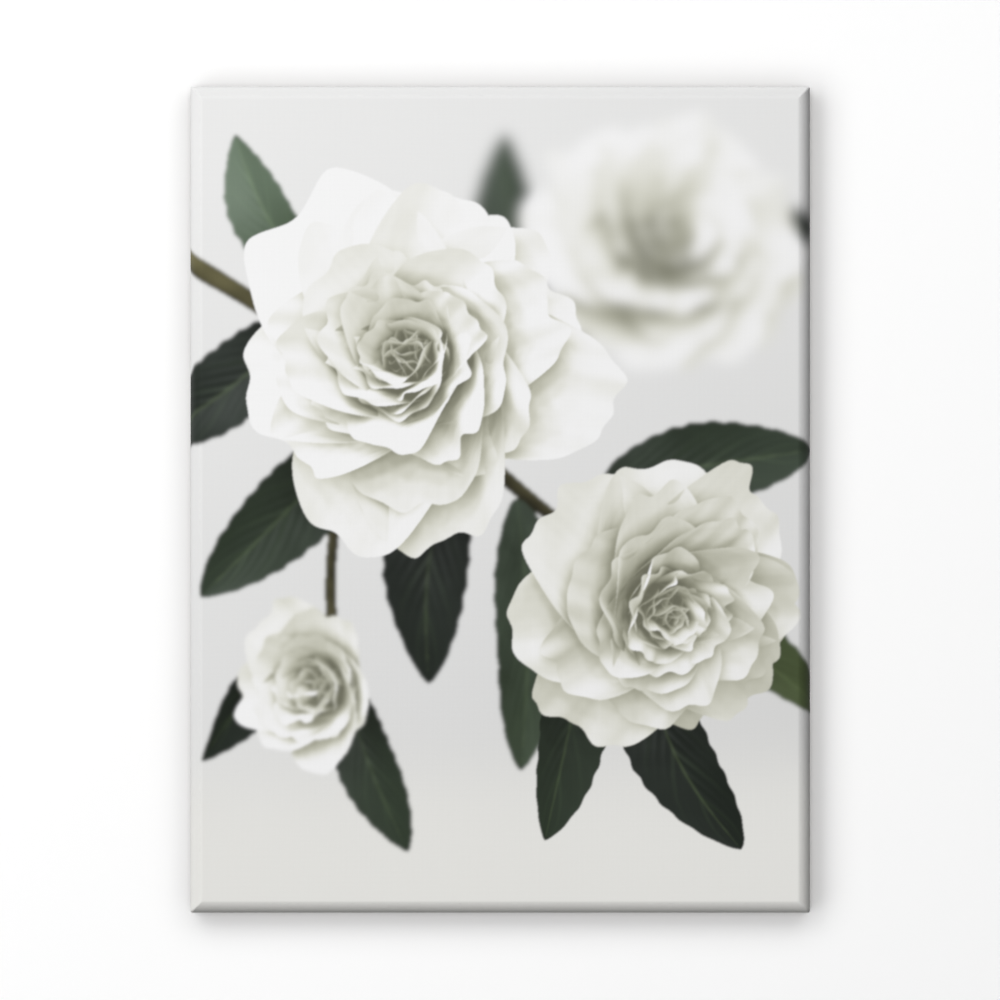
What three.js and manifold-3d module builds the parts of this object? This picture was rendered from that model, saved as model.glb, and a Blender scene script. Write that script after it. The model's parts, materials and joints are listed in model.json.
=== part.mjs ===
// A picture printed on canvas cloth, wrapped over a keyed wooden stretcher frame and stapled behind.
// A sawtooth hanger on the top bar hangs it on a wall nail.
// Millimetres. +X is right as seen from the front, +Z is up and the picture faces -Y.
// The origin is the hanger's middle notch, half way through the strip, where the nail sits.
import * as THREE from "three";
import { mergeVertices } from "three/addons/utils/BufferGeometryUtils.js";
import Module from "manifold-3d";

const wasm = await Module();
wasm.setup();

// ---- Driving dimensions ----
const WIDTH = 300;
const HEIGHT = 400;
const DEPTH = 20; // front of the cloth to the back of its turned-over flaps
const CLOTH = {
  thickness: 0.6,
  edgeWidth: 6, // the rounded edge round the picture, seen from the front
  crease: 15, // degrees by which the cloth bends at once where that edge begins
  backRadius: 0.8,
  cornerRadius: 1, // seen from the front
  flap: 25, // how far it is turned over behind
  gap: 0.2, // to the wood
};
const BAR = {
  width: 38,
  bead: 7, // the flat strip inside the front edge, before the bevel
  bevelDrop: 2.6, // how far the bevel falls away from the cloth
  endGap: 0.15,
};
// The corner joint: each bar has a tongue in one layer of its thickness and a slot in the next.
const JOINT = {
  backWall: 5.8,
  layer: 4,
  play: 0.15,
  tongue: [5, 30], // inset of the tongue's two edges
  reach: 60, // how far along the bar the tongue is rooted
  slotWall: 4.7, // outer wall left beside the slot
  slotEnd: [36, 46], // depth of the slot, at the tongue's outer edge and at the bar's inner edge
  notchEnd: 52, // how far the other bar's key has its way cleared
};
const KEY = {
  tip: 8, // inset of its thin end
  proud: 8, // how far its butt stands out of the bar
  side: 0.3,
  thickness: 3.6,
};
const STAPLE = {
  crown: 11.3,
  wire: 0.7,
  width: 1,
  leg: 6,
  inset: 12,
  play: 0.15,
  fromEnd: 20, // the one that holds a folded corner
  tilt: 0.12, // radians: a hammered staple never lies quite square
  tiltPhase: [7.3, 2.1], // from one staple to the next, and from one side to the next
};
const FOLD = {
  outline: [[1.2, 1.2], [36, 1.2], [32, 23.8], [1.2, 23.8]], // distance from the end, inset
  thickness: 0.6,
};
const HANGER = {
  halfWidth: 23,
  padStart: 14, // where the strip leaves its flat ends
  raisedHalf: 11,
  height: 11,
  thickness: 0.8,
  rise: 1.5,
  notches: 5,
  pitch: 4,
  notchWidth: 3.4,
  notchDepth: 1.8,
  fromTop: 35.7, // middle notch below the picture's top edge
};
const NAIL = {
  x: 18.5,
  shank: 0.75,
  head: 2,
  headHeight: 0.8,
  length: 9,
  point: 2.2,
  play: 0.15,
  sides: 16,
};
const ARC_STEPS = 6;
const BACK_ARC_STEPS = 2;
const CUT_MARGIN = 1; // how far a cutter runs past what it cuts

// ---- Worked-out places ----
const WOOD_INSET = CLOTH.thickness + CLOTH.gap; // from the cloth's outer face in to the wood
const WOOD_BACK = -HANGER.thickness / 2 - HANGER.rise; // y of the bars' back faces
const BACK = WOOD_BACK + WOOD_INSET; // y of the flaps' outer face
const FRONT = BACK - DEPTH; // y of the picture's face
const WOOD_FRONT = FRONT + WOOD_INSET;
const CENTRE_Z = HANGER.fromTop - HEIGHT / 2;
const CREASE = THREE.MathUtils.degToRad(CLOTH.crease);
const EDGE_RADIUS = CLOTH.edgeWidth / (1 - Math.sin(CREASE));
const EDGE_DEPTH = EDGE_RADIUS * Math.cos(CREASE); // from the face back to the flat of the side
const FAR_LAYER = [WOOD_BACK - JOINT.backWall - JOINT.layer, WOOD_BACK - JOINT.backWall];
const NEAR_LAYER = [FAR_LAYER[0] - JOINT.layer, FAR_LAYER[0]];
const SLOT_SLOPE = (JOINT.slotEnd[1] - JOINT.slotEnd[0]) / (BAR.width - JOINT.tongue[0]);
const NAIL_SEAT = [NAIL.x, WOOD_BACK + HANGER.thickness, HANGER.height / 2 - HANGER.notchDepth];

// ---- The four sides: each is a group turned about y, with its bar along x and its outer edge down ----
const RAIL = {
  half: WIDTH / 2,
  reach: HEIGHT / 2, // from the picture's centre out to this side
  slot: FAR_LAYER,
  tongue: NEAR_LAYER,
  staplePitch: 45,
  staplesEachWay: 2,
  folded: true, // the cloth's corners are folded over onto this side
};
const STILE = {
  half: HEIGHT / 2,
  reach: WIDTH / 2,
  slot: NEAR_LAYER,
  tongue: FAR_LAYER,
  staplePitch: 50,
  staplesEachWay: 3,
  folded: false,
};
const SIDES = [
  { name: "bottom", turn: 0, ...RAIL },
  { name: "right", turn: -Math.PI / 2, ...STILE },
  { name: "top", turn: Math.PI, ...RAIL },
  { name: "left", turn: Math.PI / 2, ...STILE },
];

// ---- Materials ----
const clothMaterial = new THREE.MeshStandardMaterial({ color: 0xe4e3df, roughness: 0.75 });
const pineMaterial = new THREE.MeshStandardMaterial({ color: 0xd9b98a, roughness: 0.7 });
const keyMaterial = new THREE.MeshStandardMaterial({ color: 0xcfa874, roughness: 0.75 });
const stapleMaterial = new THREE.MeshStandardMaterial({
  color: 0xb9bcc0,
  roughness: 0.35,
  metalness: 1,
});
const hangerMaterial = new THREE.MeshStandardMaterial({
  color: 0xc9a45c,
  roughness: 0.35,
  metalness: 1,
});

// ---- Solids ----

/** A closed three.js geometry as a solid that can be joined and cut. */
function solid(geometry, matrix = new THREE.Matrix4()) {
  const bare = geometry.index ? geometry.toNonIndexed() : geometry.clone();
  for (const name of Object.keys(bare.attributes)) {
    if (name !== "position") bare.deleteAttribute(name);
  }
  const merged = mergeVertices(bare.applyMatrix4(matrix), 1e-4);
  const mesh = new wasm.Mesh({
    numProp: 3,
    vertProperties: merged.attributes.position.array,
    triVerts: new Uint32Array(merged.index.array),
  });
  return new wasm.Manifold(mesh);
}

/** A solid as a named mesh. */
function toMesh(name, made, material) {
  const { vertProperties, triVerts, numProp } = made.getMesh();
  const geometry = new THREE.BufferGeometry();
  const interleaved = new THREE.InterleavedBuffer(vertProperties, numProp);
  geometry.setAttribute("position", new THREE.InterleavedBufferAttribute(interleaved, 3, 0));
  geometry.setIndex(new THREE.BufferAttribute(triVerts, 1));
  const flat = geometry.toNonIndexed();
  flat.computeVertexNormals();
  const mesh = new THREE.Mesh(flat, material);
  mesh.name = name;
  return mesh;
}

/** A closed surface through rings with equal point counts, its two ends capped. */
function cappedLoft(rings) {
  const count = rings[0].length;
  const last = (rings.length - 1) * count;
  const index = [];
  for (let i = 1; i < count - 1; i++) {
    index.push(0, i, i + 1);
    index.push(last, last + i + 1, last + i);
  }
  for (let base = 0; base < last; base += count) {
    for (let i = 0; i < count; i++) {
      const j = (i + 1) % count;
      index.push(base + i, base + count + i, base + count + j);
      index.push(base + i, base + count + j, base + j);
    }
  }
  const geometry = new THREE.BufferGeometry();
  geometry.setAttribute("position", new THREE.Float32BufferAttribute(rings.flat(2), 3));
  geometry.setIndex(index);
  return geometry;
}

/** A flat outline of [x, z] points, drawn out through y from near to far. */
function plate(outline, near, far) {
  const shape = new THREE.Shape(outline.map(([x, z]) => new THREE.Vector2(x, z)));
  const geometry = new THREE.ExtrudeGeometry(shape, { depth: far - near, bevelEnabled: false });
  return geometry.rotateX(Math.PI / 2).translate(0, far, 0);
}

/** A box between two corners. */
function block(low, high) {
  const size = high.map((v, i) => v - low[i]);
  const middle = high.map((v, i) => (v + low[i]) / 2);
  return new THREE.BoxGeometry(...size).translate(...middle);
}

/** Points on an arc about a centre, between two angles in degrees. */
function arc([cx, cy], radius, from, to, steps) {
  return Array.from({ length: steps + 1 }, (_, i) => {
    const turn = THREE.MathUtils.degToRad(from + ((to - from) * i) / steps);
    return [cx + radius * Math.cos(turn), cy + radius * Math.sin(turn)];
  });
}

/** The rounded edge's section, as [inset, y] from the face to the side, deep under the cloth's skin. */
function edgeArc(deep) {
  const radius = EDGE_RADIUS - deep;
  const start = THREE.MathUtils.radToDeg(Math.acos((EDGE_DEPTH - deep) / radius));
  return arc([EDGE_RADIUS, FRONT + EDGE_DEPTH], radius, -90 - start, -180, ARC_STEPS);
}

// ---- Bars and keys ----

/** From a side's own frame to the picture's. */
function sideMatrix(side) {
  const turned = new THREE.Matrix4().makeRotationY(side.turn);
  return turned.setPosition(0, 0, CENTRE_Z);
}

/** Where the wood is, from its distance to the bar's left or right end and its inset. */
function atEnd(side, end, [distance, inset]) {
  return [end * (side.half - WOOD_INSET - distance), inset + WOOD_INSET - side.reach];
}

/** How deep the slot runs at an inset. */
function slotEndAt(inset) {
  return JOINT.slotEnd[0] + (inset - JOINT.tongue[0]) * SLOT_SLOPE;
}

/** An outline given by distance and inset, as a plate at one end of a bar. */
function endPlate(side, end, outline, near, far) {
  return solid(plate(outline.map((point) => atEnd(side, end, point)), near, far));
}

/** A bar with mitred ends: a beaded, bevelled section whose ends draw in by their inset. */
function mitredBar(side) {
  const section = [
    ...edgeArc(WOOD_INSET).map(([inset, y]) => [inset - WOOD_INSET, y]),
    [0, WOOD_BACK],
    [BAR.width, WOOD_BACK],
    [BAR.width, WOOD_FRONT + BAR.bevelDrop],
    [BAR.bead, WOOD_FRONT],
  ];
  const rings = [1, -1].map((end) => section.map(([inset, y]) => {
    const [x, z] = atEnd(side, end, [inset + BAR.endGap, inset]);
    return [x, y, z];
  }));
  return solid(cappedLoft(rings));
}

/** A bar's end with its slot, the way of the other bar's key, and its own tongue. */
function cornerJoint(bar, side, end) {
  const { tongue, slotWall, play, reach, notchEnd } = JOINT;
  const past = BAR.width + CUT_MARGIN;
  const slot = [
    [-CUT_MARGIN, slotWall],
    [slotEndAt(slotWall), slotWall],
    [slotEndAt(past), past],
    [-CUT_MARGIN, past],
  ];
  const keyWay = [
    [-CUT_MARGIN, tongue[1]],
    [notchEnd, tongue[1]],
    [notchEnd, past],
    [-CUT_MARGIN, past],
  ];
  const blade = [
    [tongue[0], tongue[0]],
    [reach, tongue[0]],
    [reach, tongue[1]],
    [tongue[0], tongue[1]],
  ];
  return bar
    .subtract(endPlate(side, end, slot, ...side.slot))
    .subtract(endPlate(side, end, keyWay, ...side.tongue))
    .add(endPlate(side, end, blade, side.tongue[0] + play, side.tongue[1] - play));
}

/** A tapered key beside the tongue that comes into this bar's slot, its butt proud of the bar. */
function cornerKey(side, end) {
  const near = JOINT.tongue[1] + KEY.side;
  const butt = BAR.width + KEY.proud;
  const outline = [
    [near, KEY.tip],
    [slotEndAt(KEY.tip) - KEY.side, KEY.tip],
    [slotEndAt(butt) - KEY.side, butt],
    [near, butt],
  ];
  const middle = (side.slot[0] + side.slot[1]) / 2;
  return endPlate(side, end, outline, middle - KEY.thickness / 2, middle + KEY.thickness / 2);
}

// ---- Staples ----

/** Where a side's staples go: place along it, and how far the cloth is raised there. */
function staplePlaces(side) {
  const places = [];
  for (let k = -side.staplesEachWay; k <= side.staplesEachWay; k++) {
    places.push({ along: k * side.staplePitch, lift: 0 });
  }
  if (!side.folded) return places;
  const last = { along: side.half - STAPLE.fromEnd, lift: FOLD.thickness };
  return [{ ...last, along: -last.along }, ...places, last];
}

/** Moves what is made about the middle of a staple's crown to its place on the side. */
function stapleMatrix(side, { along, lift }, k) {
  const [perStaple, perSide] = STAPLE.tiltPhase;
  const tilt = STAPLE.tilt * Math.sin(perStaple * k + perSide * SIDES.indexOf(side));
  const turned = new THREE.Matrix4().makeRotationY(tilt);
  return turned.setPosition(along, BACK + lift, STAPLE.inset - side.reach);
}

/** A staple: its crown behind y = 0 and its two legs in front of it. */
function stapleSolid(matrix) {
  const { crown, wire, width, leg } = STAPLE;
  const [outer, inner] = [crown / 2, crown / 2 - wire];
  const outline = [
    [-outer, -wire],
    [outer, -wire],
    [outer, leg],
    [inner, leg],
    [inner, 0],
    [-inner, 0],
    [-inner, leg],
    [-outer, leg],
  ];
  const shape = new THREE.Shape(outline.map(([x, y]) => new THREE.Vector2(x, y)));
  const geometry = new THREE.ExtrudeGeometry(shape, { depth: width, bevelEnabled: false });
  return solid(geometry.translate(0, 0, -width / 2).rotateX(Math.PI), matrix);
}

/** The plain holes that a staple's two legs stand in. */
function legHoles(matrix) {
  const { crown, wire, width, leg, play } = STAPLE;
  const [x, z] = [wire / 2 + play, width / 2 + play];
  return [-1, 1].map((end) => {
    const middle = (end * (crown - wire)) / 2;
    return solid(block([middle - x, -leg - play, -z], [middle + x, CUT_MARGIN, z]), matrix);
  });
}

// ---- The cloth ----

/** One ring of the cloth: a rectangle inset from the picture's outline, its corners a little round. */
function clothRing(inset, y, cornerRadius) {
  const [x, z] = [WIDTH / 2 - inset - cornerRadius, HEIGHT / 2 - inset - cornerRadius];
  const centres = [[x, z], [-x, z], [-x, -z], [x, -z]];
  return centres.flatMap(([cx, cz], corner) => {
    const quarter = arc([cx, cz + CENTRE_Z], cornerRadius, corner * 90, (corner + 1) * 90, 2);
    return quarter.map(([px, pz]) => [px, y, pz]);
  });
}

/** The cloth as an open tray: the picture's face, the sides, and the flaps turned over behind. */
function clothTray() {
  const { thickness, backRadius, cornerRadius, flap } = CLOTH;
  const backCentre = [backRadius, BACK - backRadius];
  const outside = [
    ...edgeArc(0),
    ...arc(backCentre, backRadius, 180, 90, BACK_ARC_STEPS),
    [flap, BACK],
  ];
  const inside = [
    [flap, BACK - thickness],
    [thickness, BACK - thickness],
    ...edgeArc(thickness).reverse(),
  ];
  return solid(cappedLoft([
    ...outside.map(([inset, y]) => clothRing(inset, y, cornerRadius)),
    ...inside.map(([inset, y]) => clothRing(inset, y, cornerRadius - thickness)),
  ]));
}

/** The extra layers of a folded corner, lying on the end of a rail's flap. */
function cornerFold(side, end) {
  const placed = FOLD.outline.map(([distance, inset]) => {
    return [end * (side.half - distance), inset - side.reach];
  });
  const layers = plate(placed, BACK - CLOTH.thickness / 2, BACK + FOLD.thickness);
  return solid(layers, sideMatrix(side));
}

/** The whole cloth, with its folded corners and the holes of its staples. */
function clothSolid() {
  let made = clothTray();
  for (const side of SIDES) {
    if (side.folded) made = made.add(cornerFold(side, -1)).add(cornerFold(side, 1));
  }
  for (const side of SIDES) {
    staplePlaces(side).forEach((place, k) => {
      const matrix = sideMatrix(side).multiply(stapleMatrix(side, place, k));
      for (const hole of legHoles(matrix)) made = made.subtract(hole);
    });
  }
  return made;
}

// ---- The hanger ----

/** The holes that the hanger's two nails stand in. */
function nailHoles() {
  const radius = NAIL.shank + NAIL.play;
  const depth = NAIL.length + NAIL.play + CUT_MARGIN;
  const [x, seat, z] = NAIL_SEAT;
  return [-1, 1].map((end) => {
    const hole = new THREE.CylinderGeometry(radius, radius, depth, NAIL.sides);
    return solid(hole.translate(end * x, seat + CUT_MARGIN - depth / 2, z));
  });
}

/** A strip raised off the wood between its two nailed ends, with a row of notches under it. */
function hangerSolid() {
  const { halfWidth, padStart, raisedHalf, height, thickness, rise } = HANGER;
  const { notches, pitch, notchWidth, notchDepth } = HANGER;
  const near = [
    [-halfWidth, WOOD_BACK],
    [-padStart, WOOD_BACK],
    [-raisedHalf, WOOD_BACK + rise],
    [raisedHalf, WOOD_BACK + rise],
    [padStart, WOOD_BACK],
    [halfWidth, WOOD_BACK],
  ];
  const far = near.map(([x, y]) => [x, y + thickness]).reverse();
  const shape = new THREE.Shape([...near, ...far].map(([x, y]) => new THREE.Vector2(x, y)));
  const strip = new THREE.ExtrudeGeometry(shape, { depth: height, bevelEnabled: false });
  let made = solid(strip.translate(0, 0, -notchDepth));
  for (let k = 0; k < notches; k++) {
    const x = (k - (notches - 1) / 2) * pitch;
    const notch = [
      [x, 0],
      [x - notchWidth / 2, -notchDepth],
      [x - notchWidth / 2, -notchDepth - CUT_MARGIN],
      [x + notchWidth / 2, -notchDepth - CUT_MARGIN],
      [x + notchWidth / 2, -notchDepth],
    ];
    made = made.subtract(solid(plate(notch, WOOD_BACK, CUT_MARGIN)));
  }
  for (const hole of nailHoles()) made = made.subtract(hole);
  return made;
}

/** A small round-headed nail, its axis along y. */
function nailSolid(end) {
  const { shank, head, headHeight, length, point } = NAIL;
  const profile = [
    [0, -length],
    [shank, point - length],
    [shank, 0],
    [head, 0],
    [head * 0.85, headHeight * 0.6],
    [head * 0.45, headHeight * 0.92],
    [0, headHeight],
  ];
  const points = profile.map(([r, y]) => new THREE.Vector2(r, y));
  const [x, seat, z] = NAIL_SEAT;
  return solid(new THREE.LatheGeometry(points, NAIL.sides).translate(end * x, seat, z));
}

// ---- Assembly ----
const picture = new THREE.Group();
picture.add(toMesh("canvas", clothSolid(), clothMaterial));

for (const side of SIDES) {
  const group = new THREE.Group();
  group.position.z = CENTRE_Z;
  group.rotation.y = side.turn;
  let bar = mitredBar(side);
  for (const end of [-1, 1]) {
    bar = cornerJoint(bar, side, end);
    const name = `key_${side.name}_${end < 0 ? "a" : "b"}`;
    group.add(toMesh(name, cornerKey(side, end), keyMaterial));
  }
  staplePlaces(side).forEach((place, k) => {
    const matrix = stapleMatrix(side, place, k);
    for (const hole of legHoles(matrix)) bar = bar.subtract(hole);
    group.add(toMesh(`staple_${side.name}_${k + 1}`, stapleSolid(matrix), stapleMaterial));
  });
  if (side.name === "top") {
    const fromPicture = sideMatrix(side).invert();
    for (const hole of nailHoles()) bar = bar.subtract(hole.transform(fromPicture.elements));
  }
  group.add(toMesh(`bar_${side.name}`, bar, pineMaterial));
  picture.add(group);
}

picture.add(toMesh("hanger", hangerSolid(), hangerMaterial));
picture.add(toMesh("hanger_nail_left", nailSolid(-1), hangerMaterial));
picture.add(toMesh("hanger_nail_right", nailSolid(1), hangerMaterial));

export default picture;
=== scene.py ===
"""A picture printed on canvas, wrapped over a keyed wooden stretcher frame and hung on a wall.

Sizes are in millimetres, and turned into metres where an object is made. +X is right as seen from the
front, +Z is up and the picture faces -Y. The origin is the middle notch of the hanger.
"""

import json
import math

import bpy
import numpy as np
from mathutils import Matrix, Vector

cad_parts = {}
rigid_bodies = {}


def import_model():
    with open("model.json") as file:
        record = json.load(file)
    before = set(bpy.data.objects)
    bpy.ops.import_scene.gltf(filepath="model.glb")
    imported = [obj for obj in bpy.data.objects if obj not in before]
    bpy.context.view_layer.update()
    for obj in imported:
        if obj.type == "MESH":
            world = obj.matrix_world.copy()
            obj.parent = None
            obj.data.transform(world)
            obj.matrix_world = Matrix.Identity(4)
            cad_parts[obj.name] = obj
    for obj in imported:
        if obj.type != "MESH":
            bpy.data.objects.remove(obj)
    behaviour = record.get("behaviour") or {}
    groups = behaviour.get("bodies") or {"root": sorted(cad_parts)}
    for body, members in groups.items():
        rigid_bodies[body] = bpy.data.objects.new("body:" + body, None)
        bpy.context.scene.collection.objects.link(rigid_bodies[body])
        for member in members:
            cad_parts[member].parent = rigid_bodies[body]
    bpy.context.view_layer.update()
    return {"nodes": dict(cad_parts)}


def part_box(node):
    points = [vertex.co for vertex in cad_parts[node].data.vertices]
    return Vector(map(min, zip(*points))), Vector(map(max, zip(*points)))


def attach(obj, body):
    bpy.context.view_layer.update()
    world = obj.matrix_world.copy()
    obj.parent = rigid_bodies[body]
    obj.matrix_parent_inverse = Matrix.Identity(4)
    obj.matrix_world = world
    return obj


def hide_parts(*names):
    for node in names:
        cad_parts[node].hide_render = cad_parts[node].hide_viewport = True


for leftover in list(bpy.data.objects):
    bpy.data.objects.remove(leftover)
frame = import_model()
NODES = frame["nodes"]

# ---- Driving dimensions ----
MM = 0.001
CLOTH_THICKNESS = 0.45
THREAD = 0.6  # pitch of the cloth's threads
EDGE = 6.0  # width, seen from the front, of the edge where the cloth turns over the bars
CREASE = math.radians(15)  # how much of that turn it makes at once
BACK_EDGE = 0.8
CORNER = 1.0  # radius of the outline's corners
FLAP = 25.0  # how far the cloth is turned over behind
PRINT_OVER = 6.0  # how far the print runs on over the flap
FOLD = {"reach": 36.0, "slant": 4.0, "margin": 1.2, "depth": 23.8, "rise": 0.6, "onto_side": 5.0, "rim": 0.5}
FOLD_CREASE, CREASE_WIDTH, FOLD_WAVE = 0.22, 0.6, 0.07
FOLD_SPARE = 0.05  # how much less than its rise the fold lies
FOLD_UNDER = 0.12  # how deep in the flap its underside is
STAPLE_PITCH = {"rail": 45.0, "stile": 50.0}
PUCKER = 0.42  # how far the flap stands off between staples
TUCK_SWELL, TUCK_SINK = 0.25, 0.40  # how far a side is proud and sunk at a folded corner
PRINT_LINE = 0.12  # half the width in which the print ends
FINE = 0.5  # spacing of the cloth's vertices on the face, and of the print
COARSE = 4  # how many times wider it is behind
CORNER_STEPS = 16
ARC_STEPS = 16
FOLD_STEPS = 34
CUT = (384.0, 484.0)  # the cloth before it was stretched

# ---- Worked-out places ----
CANVAS_LOW, CANVAS_HIGH = (np.array(corner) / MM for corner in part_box("canvas"))
HALF_WIDTH = (CANVAS_HIGH[0] - CANVAS_LOW[0]) / 2
HALF_HEIGHT = (CANVAS_HIGH[2] - CANVAS_LOW[2]) / 2
CENTRE_Z = (CANVAS_HIGH[2] + CANVAS_LOW[2]) / 2
FRONT = CANVAS_LOW[1]
BACK = CANVAS_HIGH[1] - FOLD["rise"]
FLAT_X, FLAT_Z = HALF_WIDTH - EDGE, HALF_HEIGHT - EDGE
EDGE_RADIUS = EDGE / (1 - math.sin(CREASE))
EDGE_DEPTH = EDGE_RADIUS * math.cos(CREASE)  # from the face to where the side runs straight back
ARC = EDGE_RADIUS * (math.pi / 2 - CREASE)
SIDE = BACK - BACK_EDGE - FRONT - EDGE_DEPTH
BACK_ARC = BACK_EDGE * math.pi / 2
FLAP_START = ARC + SIDE + BACK_ARC
CLOTH_END = FLAP_START + FLAP - BACK_EDGE
PRINT_END = FLAP_START + PRINT_OVER

# ---- The picture: roses on a branch before a pale wall, in and out of focus ----
PICTURE_HALF = (175.0, 225.0)
SEED = 7
SHOULDER = 0.5  # share of a petal's length at which it has its full width
OVERLAP = 0.16  # slope of a petal across, so that one edge lies over its neighbour and one under
LIGHTS = 96
SHADE_STEP = 0.9
SHADOW_CELL = 1.4
SHADOW_OFFSET = 1.2  # how far off its surface a point is when it looks for what shades it
SHADOW_BIAS = 1.4
SHADOW_SOFT = 4.5
KEY_LIGHT = np.array([-0.52, 0.62, 0.59])
KEY_LIGHT = KEY_LIGHT / np.linalg.norm(KEY_LIGHT)
# petals, length, width, lean at base and tip, cup, ruffle and rise of the outer ring and the inner
OPEN_BLOOM = np.linspace(
    (7, 1.02, 0.47, 50, 96, 0.55, 0.045, -0.05), (9, 0.34, 0.13, -4, -14, 1.4, 0.100, 0.16), 7
)
HALF_OPEN = np.linspace(
    (6, 0.95, 0.46, 30, 60, 0.95, 0.030, 0.00), (6, 0.58, 0.20, 0, -16, 1.5, 0.060, 0.06), 5
)
FAR_AWAY = -1e9
CLEARLY_NEARER = 0.3  # how much nearer than what is drawn already a thing must be to hide it
CROWDING = 1.42  # points of a thing on the width of a cell
PETAL_WHITE = 0.98
LEVELLING = 8  # how sharply tones level off at that white
DARKEST, PALEST = 0.004, 0.95  # what the inks can print
WALL_COLOUR = np.array([0.855, 0.855, 0.850])
TABLE_COLOUR = np.array([0.84, 0.835, 0.804])
# layer, blur in millimetres, and how many times finer than the print it is drawn
LAYERS = ((0, 3.2, 1), (1, 0.8, 1), (2, 0.3, 2))
LEAF_GREENS = np.array(
    [(0.012, 0.017, 0.013), (0.026, 0.038, 0.025), (0.080, 0.110, 0.078), (0.072, 0.098, 0.036)]
)


class Thing:
    """A curved sheet in the picture: shape(u, v) gives its points, u along it and v from -1 to 1 across."""

    def __init__(self, shape, kind, layer, size, tint=0.0, dye=None):
        self.shape = shape
        self.kind = kind
        self.layer = layer
        self.size = size
        self.tint = tint
        self.dye = dye


def aimed(direction, spin=0.0):
    """A matrix whose third column points along direction."""
    w = np.array(direction, float)
    w /= np.linalg.norm(w)
    helper = np.array([0.0, 1.0, 0.0]) if abs(w[1]) < 0.9 else np.array([1.0, 0.0, 0.0])
    u = np.cross(helper, w)
    u /= np.linalg.norm(u)
    v = np.cross(w, u)
    c, s = math.cos(spin), math.sin(spin)
    return np.stack([c * u + s * v, c * v - s * u, w], 1)


def petal(place, aim, turn, length, width, lean, cup, ruffle, rise, rng):
    """A cupped petal with a waved rim, which leans from lean[0] to lean[1] off the bloom's axis."""
    matrix = aimed(aim, turn)
    phase = rng.uniform(0, 2 * np.pi, 4)
    pace = rng.uniform(0.7, 1.3, 4)
    skew = rng.normal(0, 0.10)
    notch = rng.choice([0, 0.05, 0.1])
    start = 0.02 * length

    def shape(u, v):
        rim = 1 + 0.035 * np.sin(2.3 * pace[0] * v + phase[0]) + 0.028 * np.sin(5.1 * pace[1] * v + phase[1])
        rim = rim + 0.014 * np.sin(13 * pace[2] * v + phase[2]) - notch * np.exp(-((v / 0.2) ** 2))
        reach = SHOULDER + (1 - SHOULDER) * np.sqrt(np.maximum(1 - np.abs(v) ** 2.5, 0))
        q = u * reach * rim
        change = lean[1] - lean[0]
        angle = lean[0] + change * q
        out = start + length * (np.cos(lean[0]) - np.cos(angle)) / change
        up = rise + length * (np.sin(angle) - np.sin(lean[0])) / change
        half = width * np.sin(np.minimum(q / SHOULDER, 1.0) * np.pi / 2) ** 0.8
        side = half * (np.sin(cup * v) / cup + skew * q)
        lift = half * ((1 - np.cos(cup * v)) / cup + OVERLAP * v)
        wave = np.sin(4.0 * pace[1] * v + phase[1]) + 0.6 * np.sin(7.5 * pace[2] * v + phase[2] + 2 * q)
        wave = wave + 0.35 * q * np.sin(13 * pace[3] * v + phase[3])
        lift = lift + ruffle * length * q**2 * wave * (0.35 + 0.65 * np.abs(v))
        local = np.stack([out - np.cos(angle) * lift, side, up + np.sin(angle) * lift], -1)
        return (local @ matrix.T + place).astype(np.float32)

    return shape


def leaf(base, tip, width, rng, droop=12.0, roll=0.0, twist=0.0):
    """A pointed leaf, folded a little along its midrib, with a waved and toothed edge."""
    base = np.array(base, float)
    along = np.subtract(tip, base)
    length = np.linalg.norm(along)
    along = along / length
    across = np.cross(along, [0.0, 0.0, 1.0])
    across /= np.linalg.norm(across)
    normal = np.cross(across, along)
    phase = rng.uniform(0, 2 * np.pi, 3)
    sway = rng.normal(0, 0.07) * length

    def shape(u, v):
        half = width * (1.75 * u**0.62 * (1 - u) ** 0.72 + 0.03 * (1 - u))
        half = half * (1 + 0.025 * np.abs(v) * np.sin(64 * u + phase[2]))
        bow = droop * (4 * u * (1 - u) - 1.2 * u * u)
        vault = 0.30 * np.abs(v) ** 1.3 + 0.14 * v * v * np.sin(8 * u + phase[0] + 1.5 * np.sign(v))
        vault = vault - 0.03 * np.abs(np.sin(np.pi * (10 * u - 4 * np.abs(v)))) * (1 - np.abs(v))
        turn = roll + twist * (u - 0.3)
        side = half * (v * np.cos(turn) - vault * np.sin(turn)) + sway * np.sin(np.pi * u)
        lift = half * (v * np.sin(turn) + vault * np.cos(turn)) + bow
        points = base + along * (u * length)[..., None] + across * side[..., None] + normal * lift[..., None]
        return points.astype(np.float32)

    return shape


def stem(points, radii):
    """A round stem along a smooth curve through points."""
    points = np.array(points, float)
    last = len(points) - 1

    def shape(u, v):
        place = np.clip(u, 0, 1) * last
        i = np.minimum(place.astype(int), last - 1)
        f = (place - i)[..., None]
        before, here = points[np.maximum(i - 1, 0)], points[i]
        there, after = points[i + 1], points[np.minimum(i + 2, last)]
        slope = there - before
        bend = 2 * before - 5 * here + 4 * there - after
        twist = 3 * here - before - 3 * there + after
        middle = here + 0.5 * (slope * f + bend * f**2 + twist * f**3)
        ahead = slope + 2 * bend * f + 3 * twist * f**2
        side = np.cross(ahead, [0.0, 0.0, 1.0])
        side /= np.linalg.norm(side, axis=-1, keepdims=True) + 1e-9
        front = np.cross(side, ahead)
        front /= np.linalg.norm(front, axis=-1, keepdims=True) + 1e-9
        radius = np.interp(place, np.arange(last + 1), radii) * (1 + 0.05 * np.sin(43 * u) * np.sin(17 * u))
        turn = (v * np.pi)[..., None]
        return middle + (side * np.sin(turn) + front * np.cos(turn)) * radius[..., None]

    return shape


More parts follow.
